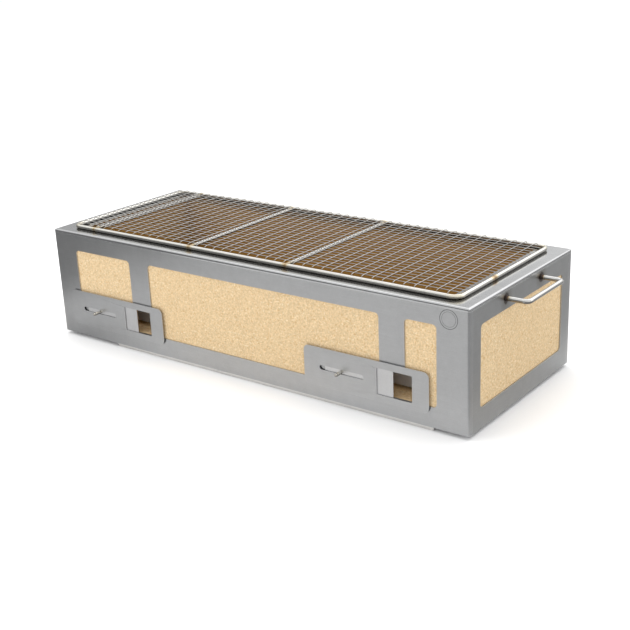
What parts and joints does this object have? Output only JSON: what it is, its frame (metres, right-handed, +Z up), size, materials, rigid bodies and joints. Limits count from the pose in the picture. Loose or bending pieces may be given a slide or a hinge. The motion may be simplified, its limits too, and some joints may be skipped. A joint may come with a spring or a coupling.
{
  "type": "hibachi grill",
  "caption": "Tabletop charcoal hibachi: brick-lined steel case with sliding air vents, end handles, a lift-out charcoal tray and a loose cooking net.",
  "frame": {"origin": "centre of the whole footprint (case, handles and vent knobs), at floor level under the runners", "axes": "+X along the case, towards the right-hand handle as seen from the vents; +Y from the vented front to the back; +Z up"},
  "size_m": [1.004, 0.3744, 0.2279],
  "materials": {
    "case_steel": "brushed, mid grey",
    "vent_steel": "brushed, lighter",
    "rod_steel": "bright drawn rod with heat tint at the welds",
    "wire_steel": "bright drawn wire",
    "dark_steel": "dull mill finish",
    "brick": "matt, fine speckled insulating firebrick"
  },
  "bodies": {
    "case": {"front_panel": "case_steel", "back_panel": "case_steel", "left_end_panel": "case_steel", "right_end_panel": "case_steel", "top_frame": "case_steel", "base_plate": "dark_steel", "front_runner": "case_steel", "rear_runner": "case_steel", "front_brick": "brick", "back_brick": "brick", "left_brick": "brick", "right_brick": "brick", "floor_brick": "brick", "left_vent_guides": "vent_steel", "right_vent_guides": "vent_steel", "left_vent_cover": "vent_steel", "right_vent_cover": "vent_steel", "left_handle": "rod_steel", "right_handle": "rod_steel"},
    "left_vent_damper": {"left_damper": "vent_steel", "left_damper_knob": "rod_steel"},
    "right_vent_damper": {"right_damper": "vent_steel", "right_damper_knob": "rod_steel"},
    "tray": {"charcoal_tray": "dark_steel", "tray_feet": "dark_steel"},
    "net": {"net_frame": "rod_steel", "net_crossbars": "rod_steel", "net_long_wires": "wire_steel", "net_cross_wires": "wire_steel"}
  },
  "joints": [
    {"name": "left_vent_slide", "type": "slide", "parent": "case", "child": "left_vent_damper", "axis": [1, 0, 0], "range_m": [-0.0405, 0.0405]},
    {"name": "right_vent_slide", "type": "slide", "parent": "case", "child": "right_vent_damper", "axis": [1, 0, 0], "range_m": [-0.0405, 0.0405]},
    {"name": "tray_lift", "type": "slide", "parent": "case", "child": "tray", "axis": [0, 0, 1], "range_m": [0, 0.2]},
    {"name": "net_lift", "type": "slide", "parent": "tray", "child": "net", "axis": [0, 0, 1], "range_m": [0, 0.06]}
  ]
}
